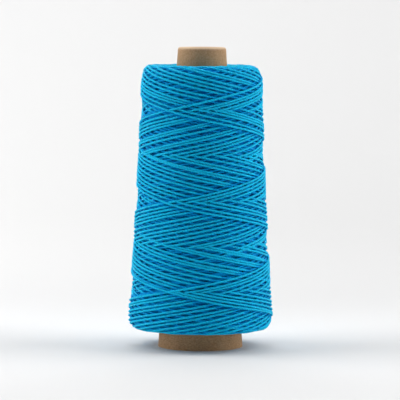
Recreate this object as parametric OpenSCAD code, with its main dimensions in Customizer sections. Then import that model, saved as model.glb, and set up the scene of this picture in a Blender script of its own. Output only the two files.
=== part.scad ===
// A cone of yarn: a tapered kraft paper tube, with one long yarn wound on it
// in crossing lays from edge to edge. Millimetres, +Z up, the tube stands on
// its wide end at Z = 0 and its axis is the Z axis.

/* [Paper cone] */
// Length of the paper cone, base to nose
cone_len = 170; // [150:1:230]
// Outside diameter of the cone at its base
base_od = 48; // [46:0.1:62]
// Taper of the cone: the angle between its wall and its axis
half_angle = 3.5; // [3:0.1:4]
// Thickness of the paper liner on the inside of the wall
liner_t = 0.4; // [0.3:0.05:0.5]
// Thickness of the glued board plies in the middle of the wall
board_t = 1.4; // [1.2:0.05:1.8]
// Thickness of the smooth kraft ply on the outside of the wall
wrap_t = 0.4; // [0.3:0.05:0.5]
// Radius of the round throat that the curled nose leaves open
throat_r = 11; // [9:0.1:11.2]
// Length of the throat's straight wall
throat_len = 4; // [3:0.5:8]

/* [Yarn package] */
// Bare paper left below the yarn
bare_base = 10.5; // [6:0.5:20]
// Bare paper left above the yarn
bare_nose = 10; // [5:0.5:20]
// Diameter over the yarn at the base end, if its edge were sharp
package_od = 82.6; // [70:0.1:120]
// Taper of the yarn's outer surface
package_angle = 2.8; // [1:0.1:3.4]
// How far the yarn's side dips at half height
waist = 0.6; // [0:0.1:1]
// Radius of the yarn's shoulder at the base end
base_shoulder = 5; // [2:0.5:8]
// Radius of the yarn's shoulder at the nose end
nose_shoulder = 6; // [2:0.5:8]

/* [Hidden] */
$fn = 96;

wall_t = liner_t + board_t + wrap_t;
package_bottom = bare_base;
package_top = cone_len - bare_nose;

// The shares of the yarn's depth at which one group of lays ends and the next begins.
lay_ends = [0, 0.12, 0.45, 0.78, 0.92, 1];

paper_colour = [0.66, 0.53, 0.40];
board_colour = [0.60, 0.48, 0.36];
yarn_colour = [0.04, 0.55, 0.76];

// Radius of the cone's outside at a height.
function cone_r(z) = base_od / 2 - z * tan(half_angle);

// Radius of the cone's wall at a depth under its outside.
function wall_r(z, depth) = cone_r(z) - depth / cos(half_angle);

// Radius over the yarn at a height, with the dip at half height.
function package_r(z) =
  let (t = (z - package_bottom) / (package_top - package_bottom))
  package_od / 2 - (z - package_bottom) * tan(package_angle) - 4 * waist * t * (1 - t);

// Radius of the surface that lies at a share of the yarn's depth.
function lay_r(z, share) = cone_r(z) + share * (package_r(z) - cone_r(z));

// The points of an arc about a centre, from one angle to another.
function arc(centre, r, from, to, steps = 10) =
  [for (i = [0:steps]) let (a = from + (to - from) * i / steps) centre + r * [cos(a), sin(a)]];

// The nose's lip is a full round whose outside meets the cone's outside.
lip_r = (wall_r(cone_len, 0) - throat_r) / 2;
lip_z = cone_len - lip_r;
throat_bottom = lip_z - throat_len;

// One ply of the wall in section, between two depths under the cone's outside.
module ply_section(outer_depth, inner_depth, top) {
  polygon([
    [wall_r(0, inner_depth), 0],
    [wall_r(0, outer_depth), 0],
    [wall_r(top, outer_depth), top],
    [wall_r(top, inner_depth), top]
  ]);
}

// The board's section: its plies, and at the nose the lip that they are curled into.
module board_section() {
  ply_section(wrap_t, wrap_t + board_t, throat_bottom);
  polygon([
    [throat_r, throat_bottom],
    [wall_r(throat_bottom, wrap_t), throat_bottom],
    [wall_r(lip_z, wrap_t), lip_z],
    [throat_r, lip_z]
  ]);
  translate([throat_r + lip_r, lip_z]) circle(r = lip_r);
}

module cone_liner() {
  color(paper_colour)
    rotate_extrude() ply_section(wrap_t + board_t, wall_t, throat_bottom);
}

module cone_board() {
  color(board_colour)
    rotate_extrude() board_section();
}

module cone_wrap() {
  color(paper_colour)
    rotate_extrude()
      difference() {
        ply_section(0, wrap_t, lip_z);
        translate([throat_r + lip_r, lip_z]) circle(r = lip_r);
      }
}

// The whole package in section: a near-straight side between two round shoulders.
module package_section() {
  base_z = package_bottom + base_shoulder;
  nose_z = package_top - nose_shoulder;
  side_steps = 8;
  polygon(concat(
    [[0, package_bottom]],
    arc([package_r(base_z) - base_shoulder, base_z], base_shoulder, -90, 0),
    [for (i = [1:side_steps - 1])
      let (z = base_z + (nose_z - base_z) * i / side_steps) [package_r(z), z]],
    arc([package_r(nose_z) - nose_shoulder, nose_z], nose_shoulder, 0, 90),
    [[0, package_top]]
  ));
}

// The space between two shares of the yarn's depth, in section.
module lay_band(inner, outer) {
  margin = 1;
  steps = 8;
  low = package_bottom - margin;
  high = package_top + margin;
  heights = [for (i = [0:steps]) low + (high - low) * i / steps];
  polygon(concat(
    [for (i = [0:steps]) [lay_r(heights[i], outer), heights[i]]],
    [for (i = [steps:-1:0]) [lay_r(heights[i], inner), heights[i]]]
  ));
}

// One group of lays, as the closed shell that its yarn fills.
module lays(group) {
  beyond = group == len(lay_ends) - 2 ? 1 : 0;
  color(yarn_colour)
    rotate_extrude()
      intersection() {
        package_section();
        lay_band(lay_ends[group], lay_ends[group + 1] + beyond);
      }
}

cone_liner();
cone_board();
cone_wrap();
lays(0);  // first_lays
lays(1);  // inner_lays
lays(2);  // middle_lays
lays(3);  // outer_lays
lays(4);  // surface_lays
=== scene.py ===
"""A cone of yarn: one plied cotton yarn, cross-wound on a kraft paper cone."""

import math

import bpy
import numpy as np
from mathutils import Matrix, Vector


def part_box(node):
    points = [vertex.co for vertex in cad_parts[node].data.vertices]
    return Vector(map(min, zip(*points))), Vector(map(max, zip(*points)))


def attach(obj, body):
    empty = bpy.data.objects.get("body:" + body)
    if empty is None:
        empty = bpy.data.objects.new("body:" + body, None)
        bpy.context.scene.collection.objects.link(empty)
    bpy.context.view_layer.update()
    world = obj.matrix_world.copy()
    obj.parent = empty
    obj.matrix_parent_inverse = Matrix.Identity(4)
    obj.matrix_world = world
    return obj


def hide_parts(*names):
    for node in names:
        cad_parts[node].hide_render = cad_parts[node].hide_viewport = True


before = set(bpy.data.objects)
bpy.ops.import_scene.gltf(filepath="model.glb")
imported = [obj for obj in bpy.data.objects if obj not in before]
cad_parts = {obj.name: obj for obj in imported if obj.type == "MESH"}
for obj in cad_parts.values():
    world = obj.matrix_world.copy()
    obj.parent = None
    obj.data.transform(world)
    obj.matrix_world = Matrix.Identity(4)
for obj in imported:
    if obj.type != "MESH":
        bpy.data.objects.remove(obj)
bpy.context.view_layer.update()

MM = 0.001
TAU = 2 * math.pi

# ---------------------------------------------------------------- sizes, in millimetres

cone_r0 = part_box("cone_wrap")[1][0] / MM
cone_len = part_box("cone_board")[1][2] / MM
package_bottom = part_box("first_lays")[0][2] / MM
package_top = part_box("first_lays")[1][2] / MM
cone_slope = math.tan(math.radians(3.5))

# The package: its radius at the base end with a sharp edge, its taper, and how much slimmer
# than straight its side is halfway up.
package_r0 = 40.95
package_slope = math.tan(math.radians(2.88))
waist = 0.75

# The rounded edges. At the nose end the edge is worn down all round but on one side, where it
# is still crisp.
base_shoulder = 6.0
worn_height = 6.5
worn_depth = 9.0
worn_less_at_sides = 3.0
crisp_height = 15.0
crisp_depth = 2.6
crisp_corner_height = 3.0
crisp_corner_depth = 2.4

YARN_D = 1.17
YARN_R = YARN_D / 2
PLY_PITCH = 3.4


def cone_r(z):
    """Radius of the paper cone's outside."""
    return cone_r0 - z * cone_slope


def sharp_r(z):
    """Radius over the yarn, as if its two edges were sharp."""
    t = (z - package_bottom) / (package_top - package_bottom)
    return package_r0 - (z - package_bottom) * package_slope - 4 * waist * t * (1 - t)


def corner_drop(distance, height, depth):
    """How far an elliptical corner has drawn in, at this distance from the edge."""
    share = 1 - np.clip(distance / height, 0, 1)
    return depth * (1 - np.sqrt(1 - share * share))


def shoulder_drop(z, side=0.0):
    """How far the rounded edges lie inside the sharp ones; side runs from -1, left, to 1."""
    low = corner_drop(z - package_bottom, base_shoulder, base_shoulder)
    top = package_top - z
    worn = corner_drop(top, worn_height, worn_depth - worn_less_at_sides * side * side)
    crisp = corner_drop(top, crisp_height, crisp_depth)
    crisp = crisp + corner_drop(top, crisp_corner_height, crisp_corner_depth)
    share = 1 - np.clip(-side, 0, 1) ** 2
    return low + share * worn + (1 - share) * crisp


# ---------------------------------------------------------------- colours and nodes


def linear(hex_colour):
    """An sRGB hex colour as linear RGBA."""
    rgb = [int(hex_colour[i : i + 2], 16) / 255 for i in (1, 3, 5)]
    return [c / 12.92 if c < 0.04045 else ((c + 0.055) / 1.055) ** 2.4 for c in rgb] + [1]


def node(tree, kind, inputs=None, out=0, **settings):
    """Adds a node, makes its settings, fills or links its inputs, and returns one output."""
    made = tree.nodes.new(kind)
    for key, value in settings.items():
        setattr(made, key, value)
    for key, value in (inputs or {}).items():
        if isinstance(value, bpy.types.NodeSocket):
            tree.links.new(value, made.inputs[key])
        else:
            made.inputs[key].default_value = value
    return made.outputs[out]


def new_material(name, uniform):
    """A material, its tree and its shader, with the values that are the same all over."""
    material = bpy.data.materials.new(name)
    material.use_nodes = True
    tree = material.node_tree
    shader = tree.nodes["Principled BSDF"]
    for key, value in uniform.items():
        shader.inputs[key].default_value = value
    return material, tree, shader


# ---------------------------------------------------------------- camera, light, backdrop

scene = bpy.context.scene
scene.view_settings.view_transform = "Standard"


def aim(obj, target):
    direction = [t - p for t, p in zip(target, obj.location)]
    obj.rotation_euler = Vector(direction).to_track_quat("-Z", "Y").to_euler()


def add_camera():
    """A long lens, from a little above the nose."""
    camera = bpy.data.objects.new("camera", bpy.data.cameras.new("camera"))
    scene.collection.objects.link(camera)
    camera.data.lens = 235.8
    camera.data.sensor_width = 36
    camera.data.clip_end = 50
    camera.location = (0.0, -1.483, 0.203)
    aim(camera, (0.0, 0, 0.0833))
    camera.rotation_euler.rotate_axis("Z", math.radians(0.34))
    camera.data.shift_x = -0.0028
    scene.camera = camera


def add_area(name, place, target, size, power, spread=180):
    """A softbox. One with a narrow spread has a grid in front, which keeps it off the rest."""
    light = bpy.data.objects.new(name, bpy.data.lights.new(name, "AREA"))
    scene.collection.objects.link(light)
    light.data.shape = "RECTANGLE"
    light.data.size = size[0]
    light.data.size_y = size[1]
    light.data.energy = power
    light.data.spread = math.radians(spread)
    light.location = place
    light.visible_camera = False
    aim(light, target)


def light_room():
    """The room is bright behind the sweep and dark on the camera's side, so the front of the
    object is a little darker. Seen directly it is an even pale grey."""
    world = bpy.data.worlds.new("studio")
    scene.world = world
    world.use_nodes = True
    tree = world.node_tree
    direction = node(tree, "ShaderNodeTexCoord", out="Generated")
    back = node(tree, "ShaderNodeSeparateXYZ", {"Vector": direction}, out="Y")
    ramp = {"Value": back, "From Min": 0.0, "From Max": 0.9, "To Min": 0.0, "To Max": 1.6}
    level = node(tree, "ShaderNodeMapRange", ramp, interpolation_type="SMOOTHSTEP")
    seen = node(tree, "ShaderNodeLightPath", out="Is Camera Ray")
    strength = node(tree, "ShaderNodeMix", {0: seen, 2: level, 3: 0.85}, data_type="FLOAT")
    background = tree.nodes["Background"]
    background.inputs["Color"].default_value = (1, 1, 1, 1)
    tree.links.new(strength, background.inputs["Strength"])


def sweep_paper():
    """Matt white sweep paper, coated at the mill: an even, pale grey-white with no gloss."""
    uniform = {"Base Color": linear("#D8D8D8"), "Roughness": 0.9, "Specular IOR Level": 0.1}
    return new_material("sweep paper matt white", uniform)[0]


def add_sweep():
    """The floor, which turns up behind the object in one wide curve."""
    steps = 16
    bend_r = 0.8
    bend_y = 0.7
    front = -3.0
    top = 2.4
    half = 3.0
    outline = [(front, 0.0), (bend_y, 0.0)]
    for step in range(1, steps + 1):
        turn = math.pi / 2 * step / steps
        outline.append((bend_y + bend_r * math.sin(turn), bend_r * (1 - math.cos(turn))))
    outline.append((bend_y + bend_r, top))
    points = [(x, y, z) for y, z in outline for x in (-half, half)]
    faces = [(2 * i, 2 * i + 1, 2 * i + 3, 2 * i + 2) for i in range(len(outline) - 1)]
    mesh = bpy.data.meshes.new("sweep")
    mesh.from_pydata(points, [], faces)
    mesh.polygons.foreach_set("use_smooth", [True] * len(faces))
    mesh.materials.append(sweep_paper())
    sweep = bpy.data.objects.new("sweep", mesh)
    scene.collection.objects.link(sweep)


add_camera()
middle = (0, 0, 0.09)
add_area("left_wall", (-1.6, 0, 0.3), (0, 0, 0.3), (1.6, 0.6), 10.0)
add_area("right_wall", (1.6, 0, 0.3), (0, 0, 0.3), (1.6, 0.6), 11.0)
add_area("left_softbox", (-1.2, 0, 1.2), middle, (1.2, 1.2), 17.0)
add_area("right_softbox", (1.2, 0, 1.2), middle, (1.2, 1.2), 16.5)
add_area("front_softbox", (0, -1.7, 1.3), middle, (1.6, 0.9), 3.0)
add_area("back_softbox", (0, 0.5, 1.7), (0, 0.5, 0), (1.8, 1.0), 7.6)
add_area("back_strip", (0, 0.32, 0.45), (0, 0, 0.15), (0.5, 0.12), 0.16, spread=70)
add_area("backdrop_left", (-0.9, 0.7, 1.9), (-0.2, 1.4, 0.3), (1.2, 0.5), 1.75, spread=60)
add_area("floor_left", (-0.9, 0.5, 1.9), (-0.9, 0.5, 0), (0.8, 0.8), 2.8, spread=50)
light_room()
add_sweep()

# ---------------------------------------------------------------- the winding

# The yarn is laid on the cone pass by pass, as a winder lays it. The winding keeps a map of
# how high the yarn stands over the paper, by angle and height. Each pass is pulled taut over
# what lies under it, so it bridges hollows, and then it is added to the map.

# The map: lanes round the cone, and rows up it. A sample of yarn is taken every two lanes.
LANES = 1000
ROW = 0.25
STEP_LANES = 2
step_deg = 360 / LANES * STEP_LANES
rows = int(round((package_top - package_bottom) / ROW))
row_z = package_bottom + (np.arange(rows) + 0.5) * ROW

# How far the cone turns in one pass, edge to edge, and how unevenly. It is a little less than
# three turns, so the crossings shift from pass to pass.
PASS_DEG = 1071.9
SHIFT_NOISE_DEG = 1.7

# How far it turns while the yarn reverses at an edge, where the last reversal is, which sets
# where the crossings fall, and how unevenly the reversals lie at the edges.
REVERSAL_DEG = 17.0
LAST_REVERSAL_DEG = 148.0
EDGE_NOISE = 0.45

# How high the finished winding stands over the paper in the map, and how much of that is laid
# while the crossings shift once round.
FINAL_BUILD = 18.8
CYCLE_BUILD = 1.7
passes_per_cycle = 2 * 360 / (6 * 360 - 2 * PASS_DEG)
pass_count = int(round(FINAL_BUILD / CYCLE_BUILD * passes_per_cycle))

# Samples of a reversal, which lie at one height, and rows that a strand covers.
REVERSAL_SAMPLES = 20
ACROSS = np.arange(-2, 3)

# How far a pass presses in between the strands under it: in the first passes, and later where
# the winding is as high as its plan. Then how far it may lie below and above its plan.
FIRST_SINK = 0.45
SINK = 0.4
BELOW_PLAN = 1.2 * YARN_R
ABOVE_PLAN = 0.9 * YARN_R

rng = np.random.default_rng(41)


def smooth_noise(count, spacing, amount):
    """A smooth random curve of count samples, with a new value every spacing samples."""
    knots = int(count / spacing) + 4
    values = rng.normal(0, amount, knots)
    place = np.arange(count) / spacing
    first = place.astype(int)
    share = place - first
    share = share * share * (3 - 2 * share)
    return values[first] * (1 - share) + values[first + 1] * share


def row_of(z):
    """The map's row at this height."""
    return np.clip(((z - package_bottom) / ROW).astype(int), 0, rows - 1)


def rows_under(z):
    """The rows that a strand at this height covers, one column for each."""
    return np.clip(row_of(z)[:, None] + ACROSS, 0, rows - 1)


def pass_path(start_deg, length_deg, low, high, rising):
    """Sample numbers and heights in millimetres of one pass, edge to edge."""
    first = math.ceil(start_deg / step_deg)
    last = math.ceil((start_deg + length_deg) / step_deg)
    index = np.arange(first, last)
    run = index * step_deg - start_deg
    slope = (high - low) / (length_deg - REVERSAL_DEG)

    def climb(x):
        turn = slope * x * x / (2 * REVERSAL_DEG)
        return np.where(x < REVERSAL_DEG, turn, slope * (x - REVERSAL_DEG / 2))

    z = np.where(run < length_deg / 2, low + climb(run), high - climb(length_deg - run))
    if not rising:
        z = np.where(run < length_deg / 2, high - climb(run), low + climb(length_deg - run))
    ease = np.clip(np.minimum(run, length_deg - run) / 60, 0, 1)
    z = z + (smooth_noise(len(run), 60, 0.2) + smooth_noise(len(run), 260, 0.32)) * ease
    return index, np.clip(z, package_bottom + YARN_R, package_top - YARN_R)


def pull_taut(place, height, radius):
    """The lowest path over these supports that a taut yarn can take round the cone."""
    bend = 1 / (2 * radius)
    x = place.tolist()
    y = (height - place * place * bend).tolist()
    hull = []
    for i in range(len(x)):
        while len(hull) > 1:
            a, b = hull[-2], hull[-1]
            if (y[b] - y[a]) * (x[i] - x[a]) <= (y[i] - y[a]) * (x[b] - x[a]):
                hull.pop()
            else:
                break
        hull.append(i)
    taut = np.interp(place, place[hull], np.array(y)[hull])
    return taut + place * place * bend


def soften(values, kernel):
    """A running average, with the ends held."""
    half = len(kernel) // 2
    padded = np.concatenate([np.repeat(values[0], half), values, np.repeat(values[-1], half)])
    return np.convolve(padded, kernel, "valid")


def lay(build, index, z, height):
    """Adds a stretch of yarn to the map of heights."""
    near = rows_under(z)
    dome = np.sqrt(np.maximum(YARN_R**2 - (z[:, None] - row_z[near]) ** 2, 0.01))
    top = height[:, None] + dome
    for extra in range(STEP_LANES):
        spot = (near, (index * STEP_LANES + extra)[:, None] % LANES + 0 * near)
        build[spot] = np.maximum(build[spot], top)


def wind():
    """Winds the whole yarn, first to last. Returns its samples and the finished map of heights."""
    lengths = PASS_DEG + rng.normal(0, SHIFT_NOISE_DEG, pass_count)
    ends = LAST_REVERSAL_DEG + PASS_DEG - np.concatenate([[0], np.cumsum(lengths[::-1])])
    starts = ends[1:][::-1]
    insets = np.abs(rng.normal(0, EDGE_NOISE, pass_count + 1)) + YARN_R
    dome = np.sqrt(np.maximum(YARN_R**2 - (ACROSS * ROW) ** 2, 0))
    kernel = np.exp(-0.5 * (np.arange(-4, 5) / 1.6) ** 2)
    kernel /= kernel.sum()
    build = np.zeros((rows, LANES))
    sink = np.full(rows, FIRST_SINK)
    yarn = []
    waiting = None
    for n in range(pass_count):
        rising = (pass_count - 1 - n) % 2 == 1
        low, high = package_bottom + insets[n], package_top - insets[n + 1]
        if not rising:
            low, high = package_bottom + insets[n + 1], package_top - insets[n]
        index, z = pass_path(starts[n], lengths[n], low, high, rising)

        # It rests on the highest strand under it, pressed a little way in.
        nominal = FINAL_BUILD * (n + 1) / pass_count
        near = rows_under(z)
        lane = (index * STEP_LANES)[:, None] % LANES
        under = np.maximum(build[near, lane], build[near, (lane + 1) % LANES])
        support = (under + dome * 0.9).max(axis=1) - sink[row_of(z)]
        support = np.clip(support, nominal - BELOW_PLAN, nominal + ABOVE_PLAN)
        if waiting:
            support[:REVERSAL_SAMPLES] = waiting[2][-1]

        radius = cone_r(z) + nominal
        step = np.hypot(radius * math.radians(step_deg), np.gradient(z))
        place = np.concatenate([[0], np.cumsum(step[1:])])
        height = soften(pull_taut(place, support, float(radius.mean())), kernel)

        # A reversal is added to the map only when the next pass has left it.
        if waiting:
            lay(build, *waiting)
        body = slice(0, -REVERSAL_SAMPLES)
        tail = slice(-REVERSAL_SAMPLES, None)
        lay(build, index[body], z[body], height[body])
        waiting = (index[tail], z[tail], height[tail])
        yarn.append((index, z, height, np.full(len(index), n)))

        # Rows that stand too high are pressed in more.
        if n % 6 == 5:
            mean = soften(build.mean(axis=1), np.ones(5) / 5)
            sink = np.clip(SINK + (mean - nominal), 0.1, 1.5 * YARN_D)
    lay(build, *waiting)
    return [np.concatenate(part) for part in zip(*yarn)], build


def radius_at(z, height, side):
    """Distance from the axis of a point that stands height over the paper in the map."""
    share = height / FINAL_BUILD
    depth = sharp_r(z) - cone_r(z)
    return cone_r(z) + share * depth - shoulder_drop(z, side) * np.clip(share, 0, 1.1) ** 2


(index, yarn_z, yarn_h, pass_number), build = wind()
lane = index * STEP_LANES % LANES
angle = np.radians(index * step_deg)
yarn_r = radius_at(yarn_z, yarn_h, np.sin(angle))


def shown_samples():
    """Which samples of the yarn show from outside, over the side or at an end face."""
    side_depth = 0.3
    face_depth = 0.4
    face_zone = 4
    widest = 45
    bin_size = 0.35
    margin = 3
    empty = -1e3
    near = rows_under(yarn_z)
    gap = yarn_z[:, None] - row_z[near]
    top = yarn_h[:, None] + np.sqrt(np.maximum(YARN_R**2 - gap**2, 0.01))
    seen = (top >= build[near, lane[:, None]] - side_depth).any(axis=1)
    bins = int(widest / bin_size)
    slot_r = np.clip((yarn_r / bin_size).astype(int)[:, None] + ACROSS, 0, bins - 1)
    dome = np.sqrt(np.maximum(YARN_R**2 - (ACROSS * bin_size) ** 2, 0.01))
    for past in (package_bottom - yarn_z, yarn_z - package_top):
        face = np.full((bins, LANES), empty)
        close = np.flatnonzero(past > -face_zone)
        reach = past[close, None] + dome
        for extra in range(STEP_LANES):
            np.maximum.at(face, (slot_r[close], (lane[close, None] + extra) % LANES), reach)
        seen[close] |= (reach >= face[slot_r[close], lane[close, None]] - face_depth).any(axis=1)
    wide = seen.copy()
    for shift in range(1, margin + 1):
        wide[shift:] |= seen[:-shift]
        wide[:-shift] |= seen[shift:]
    return wide


def sample_depth():
    """How deep each sample lies under the surface that shows, in millimetres. That surface is
    the highest that the map has within 12 lanes and 5 rows."""
    high = build.copy()
    for shift in range(1, 7):
        high = np.maximum(high, np.roll(build, shift * 2, axis=1))
        high = np.maximum(high, np.roll(build, -shift * 2, axis=1))
    tall = high.copy()
    for shift in range(1, 6):
        tall[shift:] = np.maximum(tall[shift:], high[:-shift])
        tall[:-shift] = np.maximum(tall[:-shift], high[shift:])
    under_side = tall[row_of(yarn_z), lane] - yarn_h - YARN_R
    under_low_face = yarn_z - package_bottom - YARN_R
    under_high_face = package_top - YARN_R - yarn_z
    return np.clip(np.minimum(under_side, np.minimum(under_low_face, under_high_face)), 0, 4)


shown = shown_samples()
depth = sample_depth()

# ---------------------------------------------------------------- yarn as mesh

# How deep the groove between the plies is, as a share of the radius; how many of the last
# passes get fine meshes; and the most triangles that one piece takes.
PLY_DEPTH = 0.08
TOP_PASSES = 46
TRIANGLE_LIMIT = 190000


def unit(vectors):
    return vectors / np.linalg.norm(vectors, axis=-1)[..., None]


centre = np.stack([yarn_r * np.sin(angle), -yarn_r * np.cos(angle), yarn_z], axis=1)
gaps = np.linalg.norm(np.diff(centre, axis=0), axis=1)
length = np.concatenate([[0], np.cumsum(gaps)])
thickness = YARN_D * (1 + smooth_noise(len(index), 14, 0.035) + smooth_noise(len(index), 90, 0.03))

# Three directions at each sample: along the yarn, away from the cone's axis, and sideways.
tangent = unit(np.gradient(centre, axis=0))
out = np.stack([np.sin(angle), -np.cos(angle), np.zeros_like(angle)], axis=1)
out = unit(out - (out * tangent).sum(axis=1)[:, None] * tangent)
side = np.cross(tangent, out)


def runs():
    """Each shown stretch of yarn: its sample numbers, its sides, and which of its ends dive."""
    edges = np.flatnonzero(np.diff(np.concatenate([[0], shown.astype(int), [0]])))
    turns = np.flatnonzero(np.diff(pass_number))
    found = []
    for begin, end in zip(edges[::2], edges[1::2] - 1):
        cuts = [begin, *turns[(turns > begin) & (turns < end)], end]
        for first, last in zip(cuts[:-1], cuts[1:]):
            top = pass_number[last] >= pass_count - TOP_PASSES
            spacing = 0.5 if top else 0.9
            steps = max(3, int(round((length[last] - length[first]) / spacing)))
            wanted = np.linspace(length[first], length[last], steps + 1)
            chosen = np.unique(np.searchsorted(length, wanted - 1e-9))
            if len(chosen) >= 3:
                found.append((chosen, 8 if top else 6, first == begin, last == end))
    return found


def tube(chosen, sides, dives_first, dives_last):
    """Vertices, quads, UVs and depths of one stretch. The section is that of two plies,
    twisted. The UVs are millimetres along the yarn, and the share of a turn round it."""
    rings = len(chosen)
    around = np.arange(sides) * TAU / sides
    twist = around[None] - TAU * length[chosen, None] / PLY_PITCH
    radius = (thickness[chosen, None] / 2) * (1 + PLY_DEPTH * np.cos(2 * twist))
    radius[0] *= 0.35 if dives_first else 1
    radius[-1] *= 0.35 if dives_last else 1
    points = (
        centre[chosen, None]
        + (radius * np.cos(around))[..., None] * out[chosen, None]
        + (radius * np.sin(around))[..., None] * side[chosen, None]
    )
    first = np.arange(rings - 1)[:, None] * sides
    corner = first + np.arange(sides)
    beside = first + (np.arange(sides) + 1) % sides
    quads = np.stack([corner, beside, beside + sides, corner + sides], axis=-1)
    u = length[chosen]
    v = np.arange(sides + 1) / sides
    uv = np.zeros((rings - 1, sides, 4, 2))
    uv[..., 0, 0] = uv[..., 1, 0] = u[:-1, None]
    uv[..., 2, 0] = uv[..., 3, 0] = u[1:, None]
    uv[..., 0, 1] = uv[..., 3, 1] = v[:-1]
    uv[..., 1, 1] = uv[..., 2, 1] = v[1:]
    cap = np.array([[0, k + 1, k, k - 1] for k in range(2, sides, 2)]) % sides
    last = (rings - 1) * sides
    quads = np.concatenate([quads.reshape(-1, 4), cap, cap[:, ::-1] + last])
    uv = np.concatenate([uv.reshape(-1, 4, 2), np.zeros((2 * len(cap), 4, 2))])
    return points.reshape(-1, 3), quads, uv, np.repeat(depth[chosen], sides)


def join(parts):
    """One mesh's vertices, quads, UVs and depths from those of many."""
    base = np.cumsum([0] + [len(p[0]) for p in parts[:-1]])
    quads = np.concatenate([p[1] + b for p, b in zip(parts, base)])
    points, _, uv, deep = (np.concatenate(column) for column in zip(*parts))
    return points, quads, uv, deep


def grouped_tubes():
    """The tubes of all the runs, last wound first, in groups that each make one piece."""
    groups = [[]]
    total = 0
    for run in reversed(runs()):
        part = tube(*run)
        total += 2 * len(part[1])
        if total > TRIANGLE_LIMIT:
            groups.append([])
            total = 2 * len(part[1])
        groups[-1].append(part)
    return groups


def mesh_piece(name, points, faces, material):
    """A smooth piece in millimetres, which rides with the cone."""
    mesh = bpy.data.meshes.new(name)
    mesh.from_pydata((points * MM).astype(np.float32), [], faces)
    mesh.polygons.foreach_set("use_smooth", np.ones(len(faces), bool))
    mesh.materials.append(material)
    piece = bpy.data.objects.new(name, mesh)
    scene.collection.objects.link(piece)
    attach(piece, "root")
    return piece


def set_depth(mesh, deep):
    """Tells the yarn's material how deep in the package each point lies, from which it paints shade.
    """
    layer = mesh.attributes.new("depth", "FLOAT", "POINT")
    layer.data.foreach_set("value", deep.astype(np.float32))


def fibre_ends(count, fibre_r, rings):
    """Vertices and faces of loose fibre ends, which stand off the outermost yarn as on any
    ring-spun cotton. Each is a thin three-sided tube that leans, rises and droops."""
    bare = np.flatnonzero((depth < 0.6) & shown & (pass_number >= pass_count - TOP_PASSES))
    root = rng.choice(bare, count)
    lean = rng.uniform(-1.3, 1.3, count)
    away = np.cos(lean)[:, None] * out[root] + np.sin(lean)[:, None] * side[root]
    start = centre[root] + away * YARN_R * 0.8
    along = tangent[root] * rng.choice([-1, 1], count)[:, None]
    sideways = np.cross(away, along)
    reach = rng.uniform(0.6, 2.2, count)[:, None]
    rise = rng.uniform(0.2, 0.75, count)[:, None]
    drift = rng.normal(0, 0.35, count)[:, None]
    curl = rng.uniform(0.2, 0.9, count)[:, None]
    step = np.linspace(0, 1, rings)[:, None, None]
    path = start + reach * (
        step * along * (1 - 0.4 * rise)
        + rise * (step - curl * step**2 * 0.6) * away
        + drift * step**2 * sideways
    )
    corners = np.arange(3) * TAU / 3
    taper = np.array([1.0, 1.0, 0.85, 0.4])[:, None, None, None] * fibre_r
    ring = np.cos(corners)[:, None] * away[:, None] + np.sin(corners)[:, None] * sideways[:, None]
    points = np.moveaxis(path[:, :, None] + taper * ring, 0, 1).reshape(-1, 3)
    steps = np.arange(rings - 1)[:, None] * 3
    quads = np.stack([steps + corner for corner in (np.arange(3), (np.arange(3) + 1) % 3)], axis=-1)
    quads = np.concatenate([quads, quads[..., ::-1] + 3], axis=-1).reshape(-1, 4)
    base = np.arange(count)[:, None, None] * rings * 3
    last = (rings - 1) * 3
    caps = np.array([[0, 2, 1], [last, last + 1, last + 2]])
    faces = (quads + base).reshape(-1, 4).tolist() + (caps + base).reshape(-1, 3).tolist()
    return points, faces


def lathe(name, outline, steps=128):
    """Turns a closed outline of (radius, height) points round the axis."""
    bpy.ops.object.select_all(action="DESELECT")
    r, z = outline[0]
    bpy.ops.mesh.primitive_plane_add(size=MM, location=(r * MM, 0, z * MM))
    obj = bpy.context.object
    obj.name = name
    obj.data.name = name
    bpy.ops.object.mode_set(mode="EDIT")
    bpy.ops.mesh.select_all(action="SELECT")
    bpy.ops.mesh.merge(type="CENTER")
    for next_r, next_z in outline[1:] + outline[:1]:
        move = ((next_r - r) * MM, 0, (next_z - z) * MM)
        bpy.ops.mesh.extrude_region_move(TRANSFORM_OT_translate={"value": move})
        r, z = next_r, next_z
    bpy.ops.mesh.select_all(action="SELECT")
    bpy.ops.mesh.spin(steps=steps, angle=TAU, center=(0, 0, 0), axis=(0, 0, 1))
    bpy.ops.mesh.select_all(action="SELECT")
    bpy.ops.mesh.remove_doubles(threshold=1e-6)
    bpy.ops.mesh.normals_make_consistent(inside=False)
    bpy.ops.object.mode_set(mode="OBJECT")
    bpy.ops.object.transform_apply(location=True, rotation=True, scale=True)
    bpy.ops.object.shade_smooth_by_angle(angle=math.radians(40))
    return obj


def buried_outline():
    """The yarn that no gap shows, as one closed body under the strands."""
    inset = 2.4
    end_inset = 1.6
    paper_gap = 0.02
    low = package_bottom + end_inset
    high = package_top - end_inset
    heights = np.linspace(low, high, 40)
    outer = [(float(sharp_r(z) - shoulder_drop(z, 1.0) - inset), float(z)) for z in heights]
    inner_low = (float(cone_r(low)) + paper_gap, low)
    inner_high = (float(cone_r(high)) + paper_gap, high)
    return [inner_low] + outer + [inner_high]


# ---------------------------------------------------------------- materials


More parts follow.
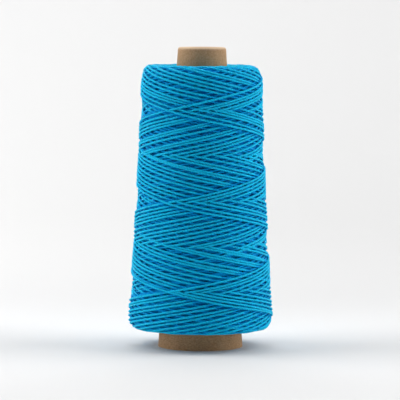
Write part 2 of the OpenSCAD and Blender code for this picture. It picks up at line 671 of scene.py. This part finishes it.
def cotton_yarn():
    """Plied cotton yarn, dyed in the hank. Two soft plies are twisted together, so each strand
    has slanting grooves and fine fibres along it, a matt body and a faint bloom at its edges.
    Down between the strands less light arrives, and what arrives has passed through the dyed fibre.
    That shade is painted into the colour: the deeper a strand lies, the darker and bluer it is
    painted, and the grooves between the plies are painted darker too."""
    uniform = {
        "Roughness": 0.6,
        "Specular IOR Level": 0.12,
        "Specular Tint": linear("#38F0D0"),
        "Sheen Weight": 0.42,
        "Sheen Roughness": 0.4,
        "Sheen Tint": linear("#20F4B8"),
    }
    material, tree, shader = new_material("cotton yarn plied and dyed", uniform)

    # The two grooves between the plies wind round the strand once in each turn of the twist.
    strand = node(tree, "ShaderNodeUVMap", out="UV", uv_map="strand")
    strand = node(tree, "ShaderNodeSeparateXYZ", {"Vector": strand}).node.outputs
    along = strand["X"]
    turned = {0: along, 1: -1 / PLY_PITCH, 2: strand["Y"]}
    turns = node(tree, "ShaderNodeMath", turned, operation="MULTIPLY_ADD")
    lobes = node(tree, "ShaderNodeMath", {0: turns, 1: 2 * TAU}, operation="MULTIPLY")
    lobes = node(tree, "ShaderNodeMath", {0: lobes}, operation="COSINE")
    groove = node(tree, "ShaderNodeMath", {0: lobes, 1: -0.5, 2: 0.5}, operation="MULTIPLY_ADD")
    groove = node(tree, "ShaderNodeMath", {0: groove, 1: 2.0}, operation="POWER")

    # Fibres lie along the plies. A cotton fibre is about 0.02 mm thick, too fine to show, so
    # they are drawn as bundles 0.1 mm wide.
    fibre_width = 0.1
    fibre_length = 1.4
    bundles = YARN_R / fibre_width
    turn = node(tree, "ShaderNodeMath", {0: turns, 1: TAU}, operation="MULTIPLY")
    east = node(tree, "ShaderNodeMath", {0: turn}, operation="COSINE")
    north = node(tree, "ShaderNodeMath", {0: turn}, operation="SINE")
    place = {
        "X": node(tree, "ShaderNodeMath", {0: along, 1: fibre_length}, operation="DIVIDE"),
        "Y": node(tree, "ShaderNodeMath", {0: east, 1: bundles}, operation="MULTIPLY"),
        "Z": node(tree, "ShaderNodeMath", {0: north, 1: bundles}, operation="MULTIPLY"),
    }
    place = node(tree, "ShaderNodeCombineXYZ", place)
    fibres = {"Vector": place, "Scale": 1.0, "Detail": 2.0}
    fibres = node(tree, "ShaderNodeTexNoise", fibres, out="Fac")
    fibres = {"Value": fibres, "From Min": 0.33, "From Max": 0.67}
    fibres = node(tree, "ShaderNodeMapRange", fibres)

    # Slubs, about 9 mm long, take up a little more or less dye.
    place = node(tree, "ShaderNodeMath", {0: along, 1: 9.0}, operation="DIVIDE")
    place = node(tree, "ShaderNodeCombineXYZ", {"X": place})
    slubs = node(tree, "ShaderNodeTexNoise", {"Vector": place, "Scale": 1.0}, out="Fac")

    # Painted shade: the colour goes by depth, over the first 3 mm. The top strands get the palest
    # colour, and the strands under them darker, bluer ones, for the shade between the strands.
    deep = node(tree, "ShaderNodeAttribute", out="Fac", attribute_name="depth")
    deep = node(tree, "ShaderNodeMath", {0: deep, 1: 3.0}, operation="DIVIDE")
    shade = node(tree, "ShaderNodeValToRGB", {"Fac": deep}, out="Color")
    ramp = shade.node.color_ramp
    ramp.elements[0].position = 0.06
    ramp.elements[0].color = linear("#12C3F6")
    ramp.elements[1].position = 0.6
    ramp.elements[1].color = linear("#00A0F0")
    ramp.elements.new(0.25).color = linear("#0099E6")

    value = node(tree, "ShaderNodeMath", {0: fibres, 1: 0.41, 2: 0.82}, operation="MULTIPLY_ADD")
    dye = node(tree, "ShaderNodeMath", {0: slubs, 1: 0.2, 2: 0.9}, operation="MULTIPLY_ADD")
    value = node(tree, "ShaderNodeMath", {0: value, 1: dye}, operation="MULTIPLY")
    # Painted shade: the colour is darker in the grooves between the plies.
    dark = node(tree, "ShaderNodeMath", {0: groove, 1: -0.22, 2: 1.0}, operation="MULTIPLY_ADD")
    value = node(tree, "ShaderNodeMath", {0: value, 1: dark}, operation="MULTIPLY")
    grey = node(tree, "ShaderNodeCombineColor", {0: value, 1: value, 2: value})
    colour = {0: 1.0, 6: shade, 7: grey}
    colour = node(tree, "ShaderNodeMix", colour, out=2, data_type="RGBA", blend_type="MULTIPLY")
    tree.links.new(colour, shader.inputs["Base Color"])

    relief = node(tree, "ShaderNodeMath", {0: fibres, 1: 0.6}, operation="MULTIPLY")
    relief = {0: groove, 1: -0.8, 2: relief}
    relief = node(tree, "ShaderNodeMath", relief, operation="MULTIPLY_ADD")
    bump = {"Height": relief, "Strength": 0.9, "Distance": 0.14 * MM}
    tree.links.new(node(tree, "ShaderNodeBump", bump), shader.inputs["Normal"])
    return material


def cotton_fibre_ends():
    """Single cotton fibres, dyed with the yarn: so thin that they look pale against it."""
    material, tree, shader = new_material("cotton fibre ends dyed", {"Roughness": 0.5})
    place = node(tree, "ShaderNodeTexCoord", out="Object")
    tone = node(tree, "ShaderNodeTexNoise", {"Vector": place, "Scale": 900.0}, out="Fac")
    colour = {0: tone, 6: linear("#28B8E8"), 7: linear("#8CE0F6")}
    colour = node(tree, "ShaderNodeMix", colour, out=2, data_type="RGBA")
    tree.links.new(colour, shader.inputs["Base Color"])
    return material


def kraft_paper():
    """Kraft paper, wound wet with glue and pressed: matt brown, with pale and dark fibres lying
    round the cone and soft blotches where the glue has soaked in. The top 1.6 mm at the nose end
    is painted paler, a painted highlight where the top edge catches light from above."""
    uniform = {"Roughness": 0.85, "Specular IOR Level": 0.15}
    material, tree, shader = new_material("kraft paper wound and glued", uniform)
    place = node(tree, "ShaderNodeTexCoord", out="Object")
    place = node(tree, "ShaderNodeSeparateXYZ", {"Vector": place}).node.outputs
    x = place["X"]
    y = place["Y"]
    height = place["Z"]
    front = node(tree, "ShaderNodeMath", {0: y, 1: -1.0}, operation="MULTIPLY")
    turn = node(tree, "ShaderNodeMath", {0: x, 1: front}, operation="ARCTAN2")
    east = node(tree, "ShaderNodeMath", {0: turn}, operation="SINE")
    north = node(tree, "ShaderNodeMath", {0: turn}, operation="COSINE")
    radius = node(tree, "ShaderNodeMath", {0: x, 1: x}, operation="MULTIPLY")
    radius = node(tree, "ShaderNodeMath", {0: y, 1: y, 2: radius}, operation="MULTIPLY_ADD")
    radius = node(tree, "ShaderNodeMath", {0: radius}, operation="SQRT")
    level = node(tree, "ShaderNodeMath", {0: height, 1: radius}, operation="ADD")

    def spots(round_mm, up_mm, detail):
        """Noise with spots this long round the cone and this tall up it, without a seam."""
        share = 20 / round_mm
        spot = {
            "X": node(tree, "ShaderNodeMath", {0: east, 1: share}, operation="MULTIPLY"),
            "Y": node(tree, "ShaderNodeMath", {0: north, 1: share}, operation="MULTIPLY"),
            "Z": node(tree, "ShaderNodeMath", {0: level, 1: up_mm * MM}, operation="DIVIDE"),
        }
        spot = node(tree, "ShaderNodeCombineXYZ", spot)
        return node(tree, "ShaderNodeTexNoise", {"Vector": spot, "Detail": detail}, out="Fac")

    fibre = spots(2.2, 0.35, 3.0)
    pale = node(tree, "ShaderNodeMapRange", {"Value": fibre, "From Min": 0.56, "From Max": 0.72})
    dark = node(tree, "ShaderNodeMapRange", {"Value": fibre, "From Min": 0.42, "From Max": 0.28})
    blotch = {"Value": spots(5.0, 2.5, 4.0), "From Min": 0.3, "From Max": 0.7}
    blotch = node(tree, "ShaderNodeMapRange", blotch)
    # Painted highlight: the top of the cone at the nose end is painted paler, for the light that its
    # top edge catches from above.
    rim_highlight = {"Value": height, "From Min": (cone_len - 1.6) * MM, "From Max": cone_len * MM}
    rim_highlight = node(tree, "ShaderNodeMapRange", rim_highlight)
    colour = {0: blotch, 6: linear("#98724E"), 7: linear("#BE9872")}
    colour = node(tree, "ShaderNodeMix", colour, out=2, data_type="RGBA")
    for share, most, tint in ((pale, 0.5, "#DCC09C"), (dark, 0.5, "#6E5034"), (rim_highlight, 0.7, "#E2CBB0")):
        share = node(tree, "ShaderNodeMath", {0: share, 1: most}, operation="MULTIPLY")
        colour = {0: share, 6: colour, 7: linear(tint)}
        colour = node(tree, "ShaderNodeMix", colour, out=2, data_type="RGBA")
    tree.links.new(colour, shader.inputs["Base Color"])
    bump = {"Height": fibre, "Strength": 0.5, "Distance": 0.1 * MM}
    tree.links.new(node(tree, "ShaderNodeBump", bump), shader.inputs["Normal"])
    return material


# ---------------------------------------------------------------- the pieces

yarn_material = cotton_yarn()
for number, parts in enumerate(grouped_tubes()):
    points, quads, uv, deep = join(parts)
    piece = mesh_piece(f"yarn_{number + 1}", points, quads, yarn_material)
    layer = piece.data.uv_layers.new(name="strand")
    layer.uv.foreach_set("vector", uv.astype(np.float32).ravel())
    set_depth(piece.data, deep)
    piece.data.validate()
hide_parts("surface_lays", "outer_lays", "middle_lays", "inner_lays", "first_lays")

mesh_piece("yarn_hairs", *fibre_ends(count=9000, fibre_r=0.018, rings=4), cotton_fibre_ends())

buried = lathe("yarn_buried", buried_outline())
# It lies deepest, so the yarn's material paints it in its deep, darker painted shade.
set_depth(buried.data, np.full(len(buried.data.vertices), 3.0))
buried.data.materials.append(yarn_material)
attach(buried, "root")

kraft_material = kraft_paper()
for name in ("cone_wrap", "cone_board", "cone_liner"):
    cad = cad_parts[name]
    cad.data.materials.clear()
    cad.data.materials.append(kraft_material)
